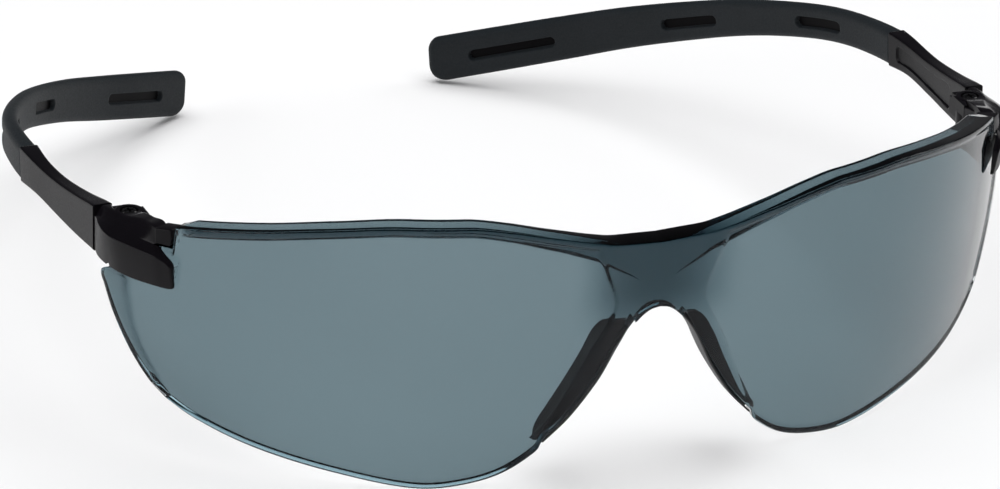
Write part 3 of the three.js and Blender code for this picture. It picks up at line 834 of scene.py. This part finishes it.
BODY_END = 5                      # the station where the body stops and the foot goes on
FOOT_REACH = 1.5
UNDERCUT = 0.7                    # how far the low edge is drawn in from the crease
END_EDGE_ROUND = (0.35, 0.16, 0.2, 0.35, 0.2, 0.2)     # one for each corner of the section
TOE_ROUND = 0.36
BLOCK_TOP_ROUND = 0.25
# Plans with the height of the top at each point: the tab that fills the notch in the lens,
# and the inner block that backs the lens corner.
TAB = [(65.5, -13.1, 37.8), (67.3, -10.9, 37.5), (64.6, -8.9, 37.2), (62.9, -11.1, 37.5)]
TAB_LOW = 35.1
BLOCK = [(69.2, -2.5, 34.6), (68.6, -6, 35.4), (66.6, -8.9, 36.4), (65.6, -8.1, 36.4),
         (65.3, -5.5, 36), (65.1, -2.5, 35.4)]
EAR_PLATES = [((65.1, -3.2), (68.6, 0.8), 35.7), ((66.2, 0.5), (69.8, 3.7), 35)]
END_CURVES = [graph(list(enumerate(column))) for column in zip(*END_STATIONS)]


def end_ring(station, inset, is_foot):
    """One upright section of the end piece, drawn in by inset at the ends."""
    values = [float(curve(station)) for curve in END_CURVES]
    face_x, face_y, way_x, way_y, low, crease, lip_in, lip_z, ridge_in, ridge_z, reach = values
    if is_foot:
        lip_in = min(lip_in, FOOT_REACH - 0.3)
        ridge_in, ridge_z, reach = (lip_in + FOOT_REACH) / 2, lip_z, FOOT_REACH
    undercut = float(UNDERCUT * smooth(0.5, 2.5, station))
    corners = [(undercut + inset, low + inset), (inset, crease - inset),
               (lip_in + inset, lip_z - inset),
               (ridge_in, ridge_z - inset), (reach, ridge_z - inset), (reach, low + inset)]
    outline = rounded_outline(corners, END_EDGE_ROUND, 6)
    length = math.hypot(way_x, way_y)
    return np.stack([face_x + outline[:, 0] * way_x / length,
                     face_y + outline[:, 0] * way_y / length, outline[:, 1]], -1)


def end_body():
    last = len(END_STATIONS) - 1
    toe = last - np.array([0.3, 0.2, 0.12, 0.06, 0.02, 0.0])
    foot = joined([BODY_END + 0.002], steps(BODY_END + 0.06, last - 0.34, 0.06), toe)
    rings = [end_ring(s, 0.15 * max(0, 1 - s / 0.05), False)
             for s in joined([0, 0.02], steps(0.05, BODY_END, 0.055))]
    for s in foot:
        to_end = (last - s) * 1.2
        inset = TOE_ROUND - math.sqrt(TOE_ROUND ** 2 - max(0, TOE_ROUND - to_end) ** 2)
        rings.append(end_ring(s, inset, True))
    return np.concatenate(rings), ring_faces(len(rings), len(rings[0]))


def plan_block(plan, low, radius=0.3):
    """An upright block with rounded corners over a plan that carries its top's heights."""
    outline = rounded_outline(plan, radius, 6)
    middle = outline.mean(axis=0)
    toward = middle[:2] - outline[:, :2]
    toward /= np.linalg.norm(toward, axis=1, keepdims=True)
    foot = outline.copy()
    foot[:, 2] = low
    rings = [foot]
    for a in arc(0):
        ring = outline.copy()
        ring[:, :2] += toward * BLOCK_TOP_ROUND * (1 - math.cos(a))
        ring[:, 2] -= BLOCK_TOP_ROUND * (1 - math.sin(a))
        rings.append(ring)
    return np.concatenate(rings), ring_faces(len(rings), len(outline))


def lens_room():
    """The room the lens needs inside the left end piece."""
    full = lens_half_width(1)
    side = joined(steps(58, CORNER_START - 0.2, 0.4), steps(CORNER_START - 0.1, 65.4, 0.05),
                  steps(65.6, full, 0.3))
    up = np.linspace(0, 1, 30)
    rings = []
    for place in side:
        share = place / full
        low = lens_low(share * lens_half_width(0)) - GAP
        top = lens_top(place) + GAP
        z = mix(low, top, up)
        x = share * (lens_half_width(up) + GAP)
        front = lens_points(x, z, np.full(len(up), -GAP))
        back = lens_points(x, z, np.full(len(up), LENS_THICKNESS + GAP))
        rings.append(np.concatenate([front, back[::-1]]))
    return np.concatenate(rings), ring_faces(len(rings), len(rings[0]))


def finish_end_pieces():
    lower_ear, knuckle, upper_ear = LEVELS["lower_ear"], LEVELS["knuckle"], LEVELS["upper_ear"]
    head_seat, ear_top = LEVELS["head_seat"], LEVELS["ear_top"]
    left = make_object("end_piece_left_fine", *end_body(), [PLASTIC])
    plates = [box_shape((*low, upper_ear), (*high, top)) for low, high, top in EAR_PLATES]
    for shape in (plan_block(TAB, TAB_LOW), plan_block(BLOCK, lower_ear), *plates,
                  rounded_drum(EAR_RADIUS, lower_ear, knuckle - GAP),
                  rounded_drum(EAR_RADIUS, upper_ear, ear_top)):
        combine(left, shape, "UNION")
    neck_room = box_shape((HINGE_X - 5, 0, knuckle - GAP), (HINGE_X + 3, SPLIT_Y + 1, upper_ear))
    for shape in (lens_room(), rounded_drum(KNUCKLE_RADIUS + GAP, knuckle - GAP, upper_ear, 0.05),
                  neck_room, rounded_drum(SCREW_RADIUS + 0.15, lower_ear + 0.8, ear_top + 1, 0.05),
                  rounded_drum(SCREW_HEAD_RADIUS + 0.2, head_seat, ear_top + 1, 0.05)):
        combine(left, shape, "DIFFERENCE")
    smooth_by_angle(left, 32)
    finish_pair(left, "end_piece", FRONT)


# ---- Hinge screws ----
CROSS_ARMS = ((0.75, 0.17), (0.17, 0.75))     # half lengths of the recess along x and y
CROSS_DEPTH = 0.45


def finish_screws():
    """A pan head with a cross recess over a plain shank."""
    foot, seat = LEVELS["lower_ear"] + 1, LEVELS["head_seat"] + 0.15
    top, round_ = LEVELS["ear_top"], 0.35
    head = [(SCREW_HEAD_RADIUS - round_ + round_ * math.cos(a), top - round_ + round_ * math.sin(a))
            for a in arc(0, 8)]
    profile = [(SCREW_RADIUS - 0.12, foot), (SCREW_RADIUS, foot + 0.12), (SCREW_RADIUS, seat),
               (SCREW_HEAD_RADIUS - 0.05, seat), (SCREW_HEAD_RADIUS, seat + 0.05)] + head
    left = make_object("hinge_screw_left_fine", *turned(profile), [METAL])
    for reach_x, reach_y in CROSS_ARMS:
        slot = box_shape((HINGE_X - reach_x, -reach_y, top - CROSS_DEPTH),
                         (HINGE_X + reach_x, reach_y, top + 1))
        combine(left, slot, "DIFFERENCE")
    smooth_by_angle(left, 35)
    finish_pair(left, "hinge_screw", FRONT)


# ---- Build ----
build_lens()
build_pads()
build_sleeves()
finish_arms()
finish_end_pieces()
finish_screws()


# ---- Stage ----
def build_floor():
    """A pale round floor, lightly mottled."""
    material, nodes, links, shader = new_material("pale_floor")
    cloud = noise(nodes, links, 6, 2)
    color = blended(nodes, links, cloud, (0.88, 0.88, 0.885), (0.90, 0.90, 0.90))
    links.new(color, shader.inputs["Base Color"])
    shader.inputs["Roughness"].default_value = 0.9
    shader.inputs["Specular IOR Level"].default_value = 0.2
    sides, radius, level = 96, 1.2, -0.00005
    turns = [2 * math.pi * k / sides for k in range(sides)]
    points = [(radius * math.cos(a), radius * math.sin(a), level) for a in turns]
    mesh = bpy.data.meshes.new("floor")
    mesh.from_pydata(points, [], [tuple(range(sides))])
    mesh.materials.append(material)
    floor = bpy.data.objects.new("floor", mesh)
    bpy.context.scene.collection.objects.link(floor)


def build_world():
    """A dim studio, a little lighter at the horizon."""
    world = bpy.data.worlds.new("studio")
    world.use_nodes = True
    bpy.context.scene.world = world
    nodes, links = world.node_tree.nodes, world.node_tree.links
    direction = nodes.new("ShaderNodeTexCoord").outputs["Generated"]
    split = nodes.new("ShaderNodeSeparateXYZ")
    links.new(direction, split.inputs["Vector"])
    color = blended(nodes, links, mapped(nodes, links, split.outputs["Z"], 0, 1, 0.08, 0.3),
                    (0.10, 0.10, 0.105), (0.045, 0.045, 0.05))
    links.new(color, nodes["Background"].inputs["Color"])
    nodes["Background"].inputs["Strength"].default_value = 1.0


def area_light(name, place, target, size, power, glossy=True):
    light = bpy.data.lights.new(name, "AREA")
    light.shape = "RECTANGLE"
    light.size, light.size_y = size
    light.energy = power
    lamp = bpy.data.objects.new(name, light)
    lamp.visible_glossy = glossy
    lamp.location = place
    lamp.rotation_euler = (Vector(target) - Vector(place)).to_track_quat("-Z", "Y").to_euler()
    bpy.context.scene.collection.objects.link(lamp)
    return lamp


def build_lights():
    area_light("overhead", (0.0, 0.0, 0.9), (0, 0, 0), (1.2, 1.2), 12.2, glossy=False)
    area_light("left_box", (-0.85, 0.05, 0.3), (0, 0, 0.02), (0.7, 0.45), 2.4)
    area_light("right_box", (0.8, 0.1, 0.4), (0, 0, 0.02), (0.4, 0.6), 1.2)


CAMERA_PLACE = Vector((-387.68, -950.71, 484.12))          # in the hinge frame
CAMERA_RIGHT = Vector((0.93234, -0.36094, 0.02149))
CAMERA_DOWN = Vector((-0.13040, -0.39107, -0.91107))
CAMERA_FOCAL = 270
CAMERA_SENSOR = 36


def build_camera():
    data = bpy.data.cameras.new("camera")
    data.lens = CAMERA_FOCAL
    data.sensor_width = CAMERA_SENSOR
    data.clip_start = 0.01
    camera = bpy.data.objects.new("camera", data)
    bpy.context.scene.collection.objects.link(camera)
    up = -CAMERA_DOWN
    toward_camera = CAMERA_RIGHT.cross(up)
    turn = Matrix((CAMERA_RIGHT, up, toward_camera)).transposed().to_4x4()
    place = (CAMERA_PLACE + Vector(ORIGIN)) * MM
    camera.matrix_world = Matrix.Translation(place) @ turn
    bpy.context.scene.camera = camera


build_floor()
build_world()
build_lights()
build_camera()
bpy.context.scene.view_settings.view_transform = "Standard"
